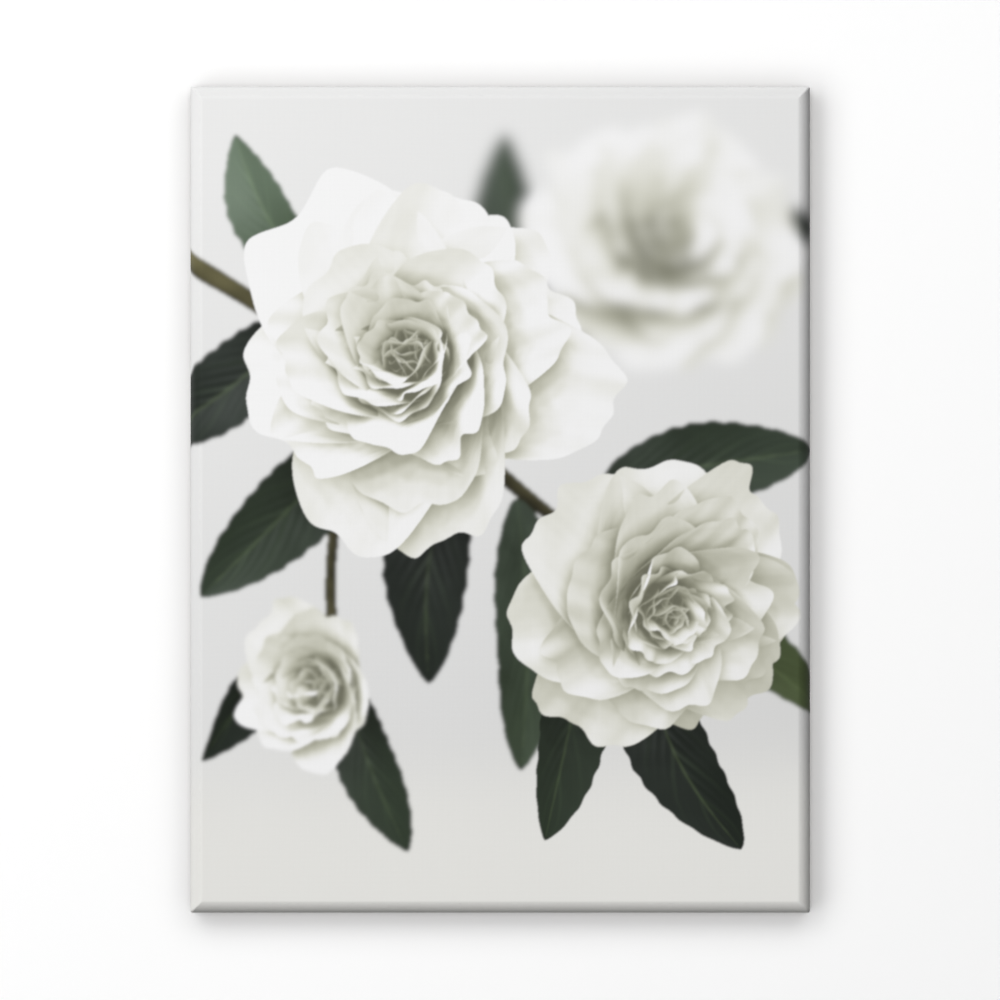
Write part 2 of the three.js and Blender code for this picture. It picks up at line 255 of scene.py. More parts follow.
def bloom(place, aim, radius, layer, rings, rng):
    """The petals of one rose, ring by ring from the outside in."""
    petals = []
    for count, length, width, lean_base, lean_tip, cup, ruffle, rise in rings:
        count = int(round(count))
        first = rng.uniform(0, 2 * np.pi)
        for i in range(count):
            turn = first + (i + rng.uniform(-0.14, 0.14)) * 2 * np.pi / count
            lean = np.radians([lean_base + rng.normal(0, 2), lean_tip + rng.normal(0, 5)])
            long = length * radius * rng.uniform(0.88, 1.10)
            wide = width * radius * rng.uniform(0.85, 1.12)
            bend = cup * rng.uniform(0.8, 1.2)
            up = (rise + 0.022 * (i % 2)) * radius
            shape = petal(place, aim, turn, long, wide, lean, bend, ruffle, up, rng)
            petals.append(Thing(shape, "petal", layer, (long, 2 * wide), rng.uniform(-1, 1)))
    return petals


def arrangement(rng):
    """Everything in the picture, in millimetres: x right, y up, and z towards the viewer."""
    things = bloom((74, 112, -120), (0.30, 0.40, 0.86), 76, 0, OPEN_BLOOM, rng)
    things += bloom((-36, 62, 0), (-0.20, 0.20, 0.96), 96, 2, OPEN_BLOOM, rng)
    things += bloom((68, -46, 24), (0.36, -0.22, 0.90), 78, 2, OPEN_BLOOM, rng)
    things += bloom((-76, -88, -30), (-0.45, -0.05, 0.88), 58, 1, HALF_OPEN, rng)
    branch = [(-215, 150, -80), (-160, 120, -70), (-100, 84, -60)]
    branch += [(-40, 46, -55), (10, 4, -45), (50, -28, -30)]
    low_twig = [(-60, 60, -56), (-76, 10, -52), (-82, -40, -46), (-78, -88, -36)]
    far_twig = [(-20, 30, -70), (20, 60, -95), (60, 96, -125)]
    things.append(Thing(stem(branch, [5, 4.4, 4, 3.6, 3.2, 3]), "stem", 1, (350, 25)))
    things.append(Thing(stem(low_twig, [2.8, 2.5, 2.4, 2.6]), "stem", 1, (150, 14)))
    things.append(Thing(stem(far_twig, [2.6, 2.4, 2.6]), "stem", 0, (120, 14)))
    # base, tip, width, layer, roll, twist, green
    leaves = [
        ((-98, 84, -60), (-172, 28, -50), 27, 1, -0.3, 0.5, 0),
        ((-70, 30, -34), (-142, -44, -10), 29, 1, 0.35, -0.6, 1),
        ((-20, 18, -30), (-34, -84, 0), 30, 1, -0.35, 0.5, 0),
        ((8, 0, -34), (10, -128, -14), 27, 1, 0.5, -0.5, 2),
        ((44, -60, -10), (22, -162, 6), 27, 2, 0.25, 0.6, 1),
        ((70, -70, -10), (116, -168, -4), 28, 2, -0.4, 0.7, 0),
        ((80, -40, -20), (160, -104, -20), 25, 1, 0.4, 0.4, 3),
        ((50, 8, -40), (152, 24, -34), 28, 1, 0.3, -0.5, 1),
        ((-84, 100, -60), (-128, 176, -60), 24, 1, 0.4, 0.4, 2),
        ((20, 70, -120), (2, 178, -130), 24, 0, 0.4, 0.2, 1),
        ((76, 110, -135), (160, 132, -140), 24, 0, 0.4, 0.2, 0),
        ((-78, -70, -44), (-142, -124, -30), 22, 1, 0.4, 0.5, 0),
        ((-74, -90, -44), (-46, -166, -24), 22, 1, -0.4, 0.5, 1),
    ]
    for base, tip, width, layer, roll, twist, green in leaves:
        size = (np.linalg.norm(np.subtract(tip, base)), 2 * width)
        shape = leaf(base, tip, width, rng, 14.0, roll, twist)
        dye = LEAF_GREENS[green] * rng.uniform(0.85, 1.2)
        things.append(Thing(shape, "leaf", layer, size, rng.uniform(-1, 1), dye))
    return things


def directions(count):
    """Evenly spread unit vectors."""
    i = np.arange(count) + 0.5
    y = 1 - 2 * i / count
    r = np.sqrt(1 - y * y)
    turn = i * np.pi * (3 - math.sqrt(5))
    return np.stack([r * np.cos(turn), y, r * np.sin(turn)], 1).astype(np.float32)


def sky(d):
    """How bright the room is in a direction: a window high on the left."""
    window = np.maximum(d @ KEY_LIGHT, 0) ** 4
    return np.maximum(0.34 + 0.30 * d[..., 1] + 0.16 * d[..., 2] + 1.3 * window, 0.04)


def soften(picture, sigma):
    """A Gaussian blur over the first two axes."""
    reach = int(3 * sigma) + 1
    weights = np.exp(-0.5 * (np.arange(-reach, reach + 1) / sigma) ** 2)
    weights = (weights / weights.sum()).astype(np.float32)
    for axis in (0, 1):
        pad = [(reach, reach) if a == axis else (0, 0) for a in range(picture.ndim)]
        wide = np.pad(picture, pad, mode="edge")
        count = picture.shape[axis]
        parts = [np.take(wide, np.arange(i, i + count), axis) * w for i, w in enumerate(weights)]
        picture = np.sum(parts, axis=0)
    return picture


def cell_numbers(places, low, wide):
    """Which cell of a shadow map each place is in."""
    cell = ((places[:, :2] - low) / SHADOW_CELL).astype(np.int32)
    return cell[:, 0] * wide + cell[:, 1]


def gather_light(points, normals):
    """Light on each point's front and on its back, and how open its front is, by shadow maps all round."""
    front, behind, open_front, whole = np.zeros((4, len(points)), np.float32)
    for d in directions(LIGHTS):
        bright = float(sky(d))
        matrix = aimed(d).astype(np.float32)
        turned, tilt = points @ matrix, normals @ matrix
        facing = tilt[:, 2]
        low = turned[:, :2].min(0) - 2 * SHADOW_OFFSET
        wide = int((turned[:, 1].max() + 2 * SHADOW_OFFSET - low[1]) / SHADOW_CELL) + 2
        index = cell_numbers(turned, low, wide)
        nearest = np.full(index.max() + 3 * wide, FAR_AWAY, np.float32)
        np.maximum.at(nearest, index, turned[:, 2])
        turned += np.sign(facing)[:, None] * SHADOW_OFFSET * tilt
        above = nearest[cell_numbers(turned, low, wide)] - turned[:, 2]
        seen = np.clip(1 - (above - SHADOW_BIAS) / SHADOW_SOFT, 0, 1)
        towards = np.maximum(facing, 0)
        front += bright * towards * seen
        behind += bright * np.maximum(-facing, 0) * seen
        open_front += towards * seen
        whole += towards
    share = 4.0 / LIGHTS
    return front * share, behind * share, open_front / np.maximum(whole, 1e-3)


def light_up(things):
    """Gives each thing a grid of points and a grid of lit colours."""
    for t in things:
        rows, columns = (max(8, int(extent / SHADE_STEP)) for extent in t.size)
        t.u, t.v = np.meshgrid(np.linspace(0, 1, rows), np.linspace(-1, 1, columns), indexing="ij")
        t.grid = t.shape(t.u, t.v)
        normal = np.cross(np.gradient(t.grid, axis=0), np.gradient(t.grid, axis=1))
        normal /= np.linalg.norm(normal, axis=-1, keepdims=True) + 1e-9
        t.facing = np.where(normal[..., 2] < 0, -1, 1)
        t.normal = normal * t.facing[..., None]
    points = np.concatenate([t.grid.reshape(-1, 3) for t in things]).astype(np.float32)
    normals = np.concatenate([t.normal.reshape(-1, 3) for t in things]).astype(np.float32)
    found = np.stack(gather_light(points, normals), -1)
    first = 0
    for t in things:
        rows, columns = t.u.shape
        part = found[first : first + rows * columns].reshape(rows, columns, 3)
        first += rows * columns
        front, behind, access = np.moveaxis(soften(part, 1.1), -1, 0)
        t.colour = COLOURS[t.kind](t, front, behind, access)


def petal_colour(t, front, behind, access):
    """White petals pass light between them, cream in the shadows and lime at their bases."""
    passed = ((access * 1.59 - 3.87) * access + 3.28) * access
    direct = 1.18 * front * np.maximum(passed, access) / np.maximum(access, 0.05)
    level = np.clip(0.95 * (direct + 0.6 * behind + 0.17) * (1 + 0.015 * t.tint), 0, 1.2)[..., None]
    cream = np.concatenate([level**0, 0.996 + 0.004 * (1 - level), 0.67 + 0.28 * level], -1)
    base = np.clip(1 - t.u / 0.42, 0, 1)[..., None] ** 1.4
    return level * cream * (1 - base + base * np.array([0.90, 0.95, 0.70]))


def leaf_colour(t, front, behind, access):
    """Dark leaves with paler veins and a soft shine."""
    vein = np.exp(-((t.v / 0.035) ** 2))[..., None]
    ribs = np.clip(np.cos(26 * (t.u - 0.35 * np.abs(t.v))) * 4 - 3, 0, 1) * (1 - np.abs(t.v))
    dye = t.dye * np.where(t.facing[..., None] > 0, 1.0, 1.7)
    dye = dye + vein * np.array([0.08, 0.105, 0.05]) + ribs[..., None] * np.array([0.02, 0.03, 0.015])
    steep = np.clip(t.normal[..., 2], 0, 1)
    mirrored = 2 * steep[..., None] * t.normal - np.array([0, 0, 1.0])
    shine = (0.045 + 0.32 * (1 - steep) ** 4) * sky(mirrored) * access
    through = behind[..., None] * np.array([0.25, 0.32, 0.12])
    return dye * (0.95 * front[..., None] + through) + 0.8 * shine[..., None] * np.array([0.92, 1.0, 0.95])


def stem_colour(t, front, behind, access):
    """Green-brown bark with darker scars."""
    bark = 1 + 0.25 * np.sin(37 * t.u + 3 * t.v) * np.sin(61 * t.u)
    return (bark * (front + 0.2 * behind + 0.04 * access))[..., None] * np.array([0.17, 0.155, 0.075])


COLOURS = {"petal": petal_colour, "leaf": leaf_colour, "stem": stem_colour}


def between(grid, rows, columns):
    """Values of a coarse grid at shares of its height and width."""
    for axis, shares in ((0, rows), (1, columns)):
        place = shares * (grid.shape[axis] - 1)
        i = np.minimum(place.astype(np.int32), grid.shape[axis] - 2)
        rest = (place - i).astype(np.float32).reshape((-1, 1, 1) if axis == 0 else (-1, 1))
        low, high = np.take(grid, i, axis), np.take(grid, i + 1, axis)
        grid = low + (high - low) * rest
    return grid


def even_shares(grid, axis, step):
    """Shares along an axis of a grid of points that move no further than step in the picture."""
    moved = np.linalg.norm(np.diff(grid[..., :2], axis=axis), axis=-1).max(1 - axis) + 1e-4
    travelled = np.concatenate([[0], np.cumsum(moved)])
    count = int(travelled[-1] / step * CROWDING) + 4
    even = np.linspace(0, travelled[-1], count)
    return np.interp(even, travelled, np.linspace(0, 1, len(travelled))).astype(np.float32)


def draw(things, step, rows, columns):
    """The nearest points of the things, as red, green, blue and cover in a grid of cells."""
    depth = np.full(rows * columns, FAR_AWAY, np.float32)
    colour = np.zeros((rows * columns, 4), np.float32)
    for t in things:
        down, across = even_shares(t.grid, 0, step), even_shares(t.grid, 1, step)
        both = between(np.concatenate([t.grid, t.colour], -1).astype(np.float32), down, across)
        if t.kind == "petal":
            veins = np.sin((34 + 5 * t.tint) * (across * 2 - 1)) + 0.7 * np.sin((83 + 8 * t.tint) * across)
            both[..., 3:] *= 1 - 0.016 * (1 + veins[None, :, None]) * (down * (1.4 - down))[:, None, None]
        both = both.reshape(-1, 6)
        column = np.floor(both[:, 0] / step + columns / 2).astype(np.int32)
        row = np.floor(rows / 2 - both[:, 1] / step).astype(np.int32)
        inside = (column >= 0) & (column < columns) & (row >= 0) & (row < rows)
        both, index = both[inside], (row * columns + column)[inside]
        nearer = both[:, 2] > depth[index] + CLEARLY_NEARER
        both, index = both[nearer], index[nearer]
        order = np.argsort(both[:, 2])
        both, index = both[order], index[order]
        depth[index] = both[:, 2]
        colour[index, :3] = both[:, 3:]
        colour[index, 3] = 1
    return mend(colour.reshape(rows, columns, 4))


def mend(picture):
    """Fills pinholes from the cells round them."""
    for _ in range(2):
        around = np.zeros_like(picture)
        for shift in ((0, 1), (0, -1), (1, 0), (-1, 0), (1, 1), (-1, -1), (1, -1), (-1, 1)):
            around += np.roll(picture, shift, (0, 1))
        holes = (picture[..., 3] == 0) & (around[..., 3] >= 5)
        picture[holes] = around[holes] / around[holes][:, 3:]
    return picture


def backdrop(rows, columns):
    """A pale wall that darkens a little downwards, and a table before it, out of focus."""
    x, y = np.meshgrid(np.linspace(0, 1, columns), np.linspace(1, 0, rows))
    dimming = 0.16 * np.clip(0.85 - y, 0, 1) * (0.8 + 0.4 * x) + 0.03 * x
    wall = WALL_COLOUR * (1 - dimming)[..., None]
    table = TABLE_COLOUR * (1 - 0.02 * (1 - y) + 0.045 * x)[..., None]
    share = 1 / (1 + np.exp(-(y - 0.20 - 0.02 * x) / 0.022))[..., None]
    return table * (1 - share) + wall * share


def paint(step):
    """The printed picture as linear colours, row 0 at the top, a cell's middle on each multiple of step."""
    things = arrangement(np.random.default_rng(SEED))
    light_up(things)
    columns, rows = (2 * int(round(half / step)) + 1 for half in PICTURE_HALF)
    picture = backdrop(rows, columns)
    for layer, blur, finer in LAYERS:
        chosen = [t for t in things if t.layer == layer]
        part = draw(chosen, step / finer, rows * finer, columns * finer)
        part = soften(part, blur / step * finer)
        part = part.reshape(rows, finer, columns, finer, 4).mean((1, 3))
        cover = part[..., 3:]
        light = PETAL_WHITE * part[..., :3] / np.maximum(cover, 1e-4)
        light = light / (1 + (light / PETAL_WHITE) ** LEVELLING) ** (1 / LEVELLING)
        picture = picture * (1 - cover) + light * cover
    return np.clip(picture, DARKEST, PALEST)


def printed(picture, s, t):
    """The picture's colour at places on the flat cloth."""
    rows, columns = picture.shape[:2]
    step = 2 * PICTURE_HALF[0] / (columns - 1)
    x = np.clip(s / step + columns // 2, 0, columns - 1.001)
    y = np.clip(rows // 2 - t / step, 0, rows - 1.001)
    i, j = y.astype(int), x.astype(int)
    fi, fj = (y - i)[:, None], (x - j)[:, None]
    top = picture[i, j] * (1 - fj) + picture[i, j + 1] * fj
    bottom = picture[i + 1, j] * (1 - fj) + picture[i + 1, j + 1] * fj
    return top * (1 - fi) + bottom * fi


# ---- The cloth ----
BARE_CLOTH = np.array([0.80, 0.79, 0.765])  # primed, not printed
CLOTH_BEHIND = np.array([0.68, 0.64, 0.56])  # not primed
PRIMED_THREADS = 0.3  # how strongly threads show through the primer
SHEET_ON_MAP = 500.0  # millimetres of cloth to the side of the texture map
BEHIND_ON_MAP = (0.785, 0.0, 0.21 / CUT[0])  # corner and scale of the cloth's inner side on the map
FOLDS_ON_MAP = (0.785, 0.30)


def section(a, deep):
    """Inset from the outline and y of the cloth, a beyond the flat of its face and deep under its skin."""
    if a < ARC:
        turn, radius = CREASE + a / EDGE_RADIUS, EDGE_RADIUS - deep
        return EDGE_RADIUS - radius * math.sin(turn), FRONT + EDGE_DEPTH - radius * math.cos(turn)
    if a < ARC + SIDE:
        return deep, FRONT + EDGE_DEPTH + a - ARC
    if a < FLAP_START:
        turn, radius = (a - ARC - SIDE) / BACK_EDGE, BACK_EDGE - deep
        return BACK_EDGE - radius * math.cos(turn), BACK - BACK_EDGE + radius * math.sin(turn)
    return BACK_EDGE + a - FLAP_START, BACK - deep


def outline(across, up, corner_steps):
    """Once round a rectangle, anticlockwise from the front: where on it (-1 to 1) and which way is out."""
    parts = []
    for turn in range(4):
        c, s = round(math.cos(turn * math.pi / 2)), round(math.sin(turn * math.pi / 2))
        count = across if turn % 2 == 0 else up
        along = np.linspace(-1, 1, count, endpoint=False)
        straight = np.stack([along, -np.ones(count), np.zeros(count), -np.ones(count)])
        bend = np.linspace(0, math.pi / 2, corner_steps, endpoint=False)
        ones = np.ones(corner_steps)
        corner = np.stack([ones, -ones, np.sin(bend), -np.cos(bend)])
        px, pz, ux, uz = np.concatenate([straight, corner], 1)
        parts.append(np.stack([c * px - s * pz, s * px + c * pz, c * ux - s * uz, s * ux + c * uz]))
    return np.concatenate(parts, 1)


def smooth_step(value, low, high):
    """0 below low, 1 above high, and smooth between."""
    share = np.clip((value - low) / (high - low), 0, 1)
    return share * share * (3 - 2 * share)


def puckers(along, on_rail, inset):
    """How far the flap stands off between its staples, more towards its free edge."""
    pitch = np.where(on_rail, STAPLE_PITCH["rail"], STAPLE_PITCH["stile"])
    between_staples = 0.5 - 0.5 * np.cos(2 * np.pi * along / pitch)
    uneven = 0.6 + 0.4 * np.sin(0.043 * along + 1.3 * on_rail) * np.sin(0.021 * along + 0.5)
    return PUCKER * between_staples * uneven * smooth_step(inset, 2, FLAP)


def corner_tuck(x, on_rail, a):
    """How far a rail's side is proud over the tucked cloth near a corner, and sunk at its folded edge."""
    from_end = HALF_WIDTH - np.abs(x)
    beyond = smooth_step(a, ARC, ARC + 2.5) * on_rail
    swell = TUCK_SWELL * smooth_step(1.3 * (a - ARC) - from_end, -1.5, 1.5)
    sunk = TUCK_SINK * (1 - smooth_step(from_end, 1.3, 1.9))
    return (swell - sunk) * beyond * (1 - smooth_step(a, ARC + SIDE - 1, ARC + SIDE + 0.5))


def ring(a, deep, pattern):
    """Points (x, y, z, s, t) once round the cloth, s and t on the flat sheet."""
    px, pz, ux, uz = pattern
    inset, y = section(a, deep)
    radius = max(CORNER * (1 - inset / EDGE), 0.05)
    cx, cz = HALF_WIDTH - inset - radius, HALF_HEIGHT - inset - radius
    x, z = px * cx + ux * radius, pz * cz + uz * radius
    s, t = px * cx + ux * (FLAT_X + a - cx), pz * cz + uz * (FLAT_Z + a - cz)
    on_rail = np.abs(uz) > 0.7
    along = np.where(on_rail, x, z)
    out = corner_tuck(x, on_rail, a)
    if a > CLOTH_END - 1:
        out = out - 0.45 * np.sin(0.071 * along + on_rail) - 0.25 * np.sin(0.23 * along + 2 * uz)
    y = y + puckers(along, on_rail, inset) * (a > FLAP_START)
    return np.stack([x + ux * out, y * np.ones_like(x), CENTRE_Z + z + uz * out, s, t], 1)


def face_grid(step, deep):
    """Points (x, y, z, s, t) of the flat of the face, and their numbers by column and row."""
    columns, rows = int(round(2 * FLAT_X / step)), int(round(2 * FLAT_Z / step))
    s, t = np.meshgrid(np.linspace(-FLAT_X, FLAT_X, columns + 1), np.linspace(-FLAT_Z, FLAT_Z, rows + 1))
    points = np.stack([s, np.full_like(s, FRONT + deep), CENTRE_Z + t, s, t], -1).reshape(-1, 5)
    return points, np.arange(len(points)).reshape(rows + 1, columns + 1).T


def rim_numbers(numbers, corner_steps):
    """A face grid's outer numbers in the order of outline, each corner repeated."""
    sides = [numbers[:-1, 0], numbers[-1, :-1], numbers[:0:-1, -1], numbers[0, :0:-1]]
    corners = [numbers[-1, 0], numbers[-1, -1], numbers[0, -1], numbers[0, 0]]
    parts = [np.concatenate([side, np.full(corner_steps, corner)]) for side, corner in zip(sides, corners)]
    return np.concatenate(parts)


def new_object(name, data):
    """An object in the scene."""
    made = bpy.data.objects.new(name, data)
    bpy.context.scene.collection.objects.link(made)
    return made


class Cloth:
    """Collects points and faces, and makes the mesh."""

    def __init__(self):
        self.points = []
        self.colours = []
        self.count = 0
        self.faces = []

    def add(self, points, colours):
        """Adds points (x, y, z, s, t) and gives their numbers."""
        self.points.append(points)
        self.colours.append(np.broadcast_to(colours, (len(points), 3)))
        self.count += len(points)
        return np.arange(self.count - len(points), self.count)

    def add_faces(self, faces, place):
        """Faces with equal numbers of corners, and their place on the texture map."""
        if len(faces):
            self.faces.append((np.array(faces), place))

    def band(self, inner, outer, place):
        """Faces between two rings, which may repeat a number at the corners."""
        if len(inner) > len(outer):
            ratio = len(inner) // len(outer)
            steps = np.arange(len(outer))[:, None] * ratio + np.arange(ratio, -1, -1)
            faces = [inner[steps % len(inner)], outer[:, None], np.roll(outer, -1)[:, None]]
            self.add_faces(np.concatenate(faces, 1), place)
            return
        faces = np.stack([inner, outer, np.roll(outer, -1), np.roll(inner, -1)], 1)
        same_inner = faces[:, 0] == faces[:, 3]
        same_outer = faces[:, 1] == faces[:, 2]
        self.add_faces(faces[~same_inner & ~same_outer], place)
        self.add_faces(faces[same_inner][:, :3], place)
        self.add_faces(faces[same_outer][:, [0, 1, 3]], place)

    def grid(self, numbers, place, flip=False):
        """Faces of a grid of numbers by column and row, facing the front unless flipped."""
        corners = [numbers[:-1, :-1], numbers[1:, :-1], numbers[1:, 1:], numbers[:-1, 1:]]
        if flip:
            corners.reverse()
        self.add_faces(np.stack([c.ravel() for c in corners], 1), place)

    def build(self, name):
        """The finished object."""
        points = np.concatenate(self.points)
        mesh = bpy.data.meshes.new(name)
        mesh.vertices.add(len(points))
        mesh.vertices.foreach_set("co", (points[:, :3] * MM).astype(np.float32).ravel())
        corners = np.concatenate([faces.ravel() for faces, _ in self.faces])
        sizes = np.concatenate([np.full(len(faces), faces.shape[1]) for faces, _ in self.faces])
        mesh.loops.add(len(corners))
        mesh.loops.foreach_set("vertex_index", corners.astype(np.int32))
        mesh.polygons.add(len(sizes))
        mesh.polygons.foreach_set("loop_start", (np.cumsum(sizes) - sizes).astype(np.int32))
        mesh.polygons.foreach_set("use_smooth", np.ones(len(sizes), bool))
        places = np.concatenate([place(points[faces.ravel(), 3:]) for faces, place in self.faces])
        mesh.uv_layers.new(name="OFBake").data.foreach_set("uv", places.astype(np.float32).ravel())
        colours = np.concatenate(self.colours)
        bare = (colours == CLOTH_BEHIND).all(1) + PRIMED_THREADS * (colours == BARE_CLOTH).all(1)
        colours = np.concatenate([colours, np.ones((len(colours), 1))], 1).astype(np.float32)
        print_layer = mesh.color_attributes.new(name="print", type="FLOAT_COLOR", domain="POINT")
        print_layer.data.foreach_set("color", colours.ravel())
        flat = np.concatenate([points[:, 3:], bare[:, None]], 1).astype(np.float32)
        flat_layer = mesh.attributes.new(name="flat", type="FLOAT_VECTOR", domain="POINT")
        flat_layer.data.foreach_set("vector", flat.ravel())
        mesh.update(calc_edges=True)
        mesh.validate()
        return new_object(name, mesh)


def on_front(flat):
    """Where a place on the flat cloth is on the texture map, for its outer side."""
    return (flat + np.array(CUT) / 2) / SHEET_ON_MAP


def on_behind(flat):
    """The same for its inner side, which gets less of the map."""
    left, low, scale = BEHIND_ON_MAP
    return (flat + np.array(CUT) / 2) * scale + np.array([left, low])


def make_cloth(picture):
    """The wrapped cloth as one closed sheet, its face finer than what is behind."""
    cloth = Cloth()
    points, numbers = face_grid(FINE, 0)
    cloth.add(points, printed(picture, points[:, 3], points[:, 4]))
    cloth.grid(numbers, on_front)
    across, up = numbers.shape[0] - 1, numbers.shape[1] - 1
    fine = outline(across, up, CORNER_STEPS)
    coarse = fine[:, ::COARSE]
    last = rim_numbers(numbers, CORNER_STEPS)
    arc_stops = np.linspace(0, ARC, ARC_STEPS + 1)[1:]
    side_stops = np.linspace(ARC, ARC + SIDE, int(SIDE / FINE) + 1)[1:-2]
    back_stops = [ARC + SIDE, *np.linspace(ARC + SIDE, FLAP_START, 5)[1:]]
    flap_stops = [*np.linspace(FLAP_START + 1.2, PRINT_END - 1.2, 3)]
    flap_stops += [PRINT_END - PRINT_LINE, PRINT_END + PRINT_LINE]
    flap_stops += [*np.linspace(PRINT_END + 1.5, CLOTH_END, 12)]
    for pattern, stops in ((fine, [*arc_stops, *side_stops]), (coarse, [*back_stops, *flap_stops])):
        for a in stops:
            points = ring(a, 0, pattern)
            inked = printed(picture, points[:, 3], points[:, 4]) if a < PRINT_END else BARE_CLOTH
            this = cloth.add(points, inked)
            cloth.band(last, this, on_front)
            last = this
    for k, a in enumerate([*flap_stops[::-1], *back_stops[::-1], *side_stops[::-COARSE], *arc_stops[-2::-2]]):
        this = cloth.add(ring(a, CLOTH_THICKNESS, coarse), CLOTH_BEHIND)
        cloth.band(last, this, on_behind if k else on_front)
        last = this
    points, numbers = face_grid(FINE * COARSE, CLOTH_THICKNESS)
    numbers = numbers + cloth.count
    cloth.add(points, CLOTH_BEHIND)
    cloth.band(last, rim_numbers(numbers, CORNER_STEPS // COARSE), on_behind)
    cloth.grid(numbers, on_behind, flip=True)
    for right in (-1, 1):
        for top in (-1, 1):
            add_fold(cloth, picture, right, top)
    return cloth.build("canvas_cloth")


def eased(count):
    """Shares from 0 to 1, close together at both ends."""
    return (1 - np.cos(np.linspace(0, math.pi, count + 1))) / 2


def add_fold(cloth, picture, right, top):
    """The outer layer of a folded corner: it comes over the back edge and lies on the end of the flap."""
    e, i = np.meshgrid(eased(FOLD_STEPS), eased(FOLD_STEPS), indexing="ij")
    first, last = FLAP_START - BACK_ARC - FOLD["onto_side"], FLAP_START + FOLD["depth"] - BACK_EDGE
    a = first + i * (last - first)
    slant = FOLD["slant"] * np.clip(a - FLAP_START, 0, None) / (last - FLAP_START)
    end = FOLD["margin"] + e * (FOLD["reach"] - FOLD["margin"] - slant)
    from_edge = np.minimum(end - FOLD["margin"], (1 - e) * (FOLD["reach"] - FOLD["margin"]))
    rim = np.clip(np.minimum(from_edge, last - a) / FOLD["rim"], 0, 1)
    crown = (FOLD["rise"] - FOLD_SPARE) * np.sqrt(1 - (1 - rim) ** 2)
    crown = crown * smooth_step(a, first, FLAP_START - 0.5 * BACK_ARC)
    inset_flat = a - FLAP_START + BACK_EDGE
    crease = FOLD_CREASE * np.exp(-(((end - inset_flat) / CREASE_WIDTH) ** 2))
    crease = crease * smooth_step(inset_flat, 1, 3)
    wave = FOLD_WAVE * np.sin(0.31 * end + 0.8 * right) * np.sin(0.22 * a + top)
    lift = np.where(rim > 0, crown - (crease - wave) * (rim >= 1), 0)
    over, below = [], []
    for deep, found in ((-lift, over), (np.full_like(lift, FOLD_UNDER), below)):
        places = [section(k, d) for k, d in zip(a.ravel(), deep.ravel())]
        inset, y = np.array(places).T.reshape(2, *a.shape)
        x, z = right * (HALF_WIDTH - end), top * (HALF_HEIGHT - inset)
        found.append(np.stack([x, y, CENTRE_Z + z, x, top * (FLAT_Z + a)], -1).reshape(-1, 5))
    skin, under = over[0], below[0]
    printed_part = (a < PRINT_END).reshape(-1, 1)
    inked = np.where(printed_part, printed(picture, skin[:, 3], skin[:, 4]), BARE_CLOTH)
    flip = right * top > 0
    corner = np.array([right * HALF_WIDTH, top * (FLAT_Z + first)])
    slot = np.array([FOLDS_ON_MAP[0] + 0.10 * (right > 0), FOLDS_ON_MAP[1] + 0.30 * (top > 0)])

    def place(flat):
        """Where the fold is on the texture map."""
        return np.abs(flat - corner) / SHEET_ON_MAP + slot

    def place_under(flat):
        """Its underside, beside it."""
        return place(flat) + np.array([0.0, 0.12])

    over = cloth.add(skin, inked).reshape(a.shape)
    below = cloth.add(under, CLOTH_BEHIND).reshape(a.shape)
    cloth.grid(over, place, flip=not flip)
    cloth.grid(below, place_under, flip=flip)
    rims = [rim_numbers(numbers, 0) for numbers in (over, below)]
    if flip:
        rims.reverse()
    cloth.band(rims[1], rims[0], place)


# ---- Materials ----


def new_material(name):
    """An empty material's tree, and its shader."""
    material = bpy.data.materials.new(name)
    material.use_nodes = True
    tree = material.node_tree
    return material, tree, tree.nodes["Principled BSDF"]


def add_node(tree, kind, settings=None, **inputs):
    """A node with its settings, and inputs by name or _number: values or other nodes' outputs."""
    made = tree.nodes.new("ShaderNode" + kind)
    for key, value in (settings or {}).items():
        setattr(made, key, value)
    for key, value in inputs.items():
        socket = made.inputs[int(key[1:]) if key[0] == "_" else key.replace("_", " ")]
        if isinstance(value, bpy.types.NodeSocket):
            tree.links.new(value, socket)
        else:
            socket.default_value = value
    return made


def maths(tree, operation, *values):
    """A Math node's output."""
    inputs = {f"_{i}": value for i, value in enumerate(values)}
    return add_node(tree, "Math", {"operation": operation}, **inputs).outputs[0]


def noise(tree, place, scale, detail):
    """A Noise Texture's value."""
    return add_node(tree, "TexNoise", Vector=place, Scale=scale, Detail=detail).outputs[0]


def scaled(tree, place, scale, turn=(0, 0, 0)):
    """A place scaled along each axis, and then turned."""
    return add_node(tree, "Mapping", _0=place, Rotation=turn, Scale=scale).outputs[0]


def fade(tree, value, low, high, first, last):
    """Goes from first to last as a value goes from low to high."""
    return add_node(tree, "MapRange", _0=value, _1=low, _2=high, _3=first, _4=last).outputs[0]


def feed(tree, shader, colour, rough, height, strength, distance):
    """Gives a shader its colour, roughness and relief; distance is in millimetres."""
    bump = add_node(tree, "Bump", Strength=strength, Distance=distance * MM, Height=height).outputs[0]
    for value, socket in ((colour, "Base Color"), (rough, "Roughness"), (bump, "Normal")):
        tree.links.new(value, shader.inputs[socket])


def ramp(tree, value, stops):
    """A colour ramp's output; stops are (position, linear colour)."""
    made = add_node(tree, "ValToRGB", _0=value)
    elements = made.color_ramp.elements
    while len(elements) < len(stops):
        elements.new(0.5)
    for element, (position, colour) in zip(elements, stops):
        element.position = position
        element.color = (*colour, 1)
    return made.outputs[0]


def mix_colour(tree, share, first, second, blend="MIX"):
    """A Mix node's colour output."""
    settings = {"data_type": "RGBA", "blend_type": blend}
    return add_node(tree, "Mix", settings, _0=share, _6=first, _7=second).outputs[2]


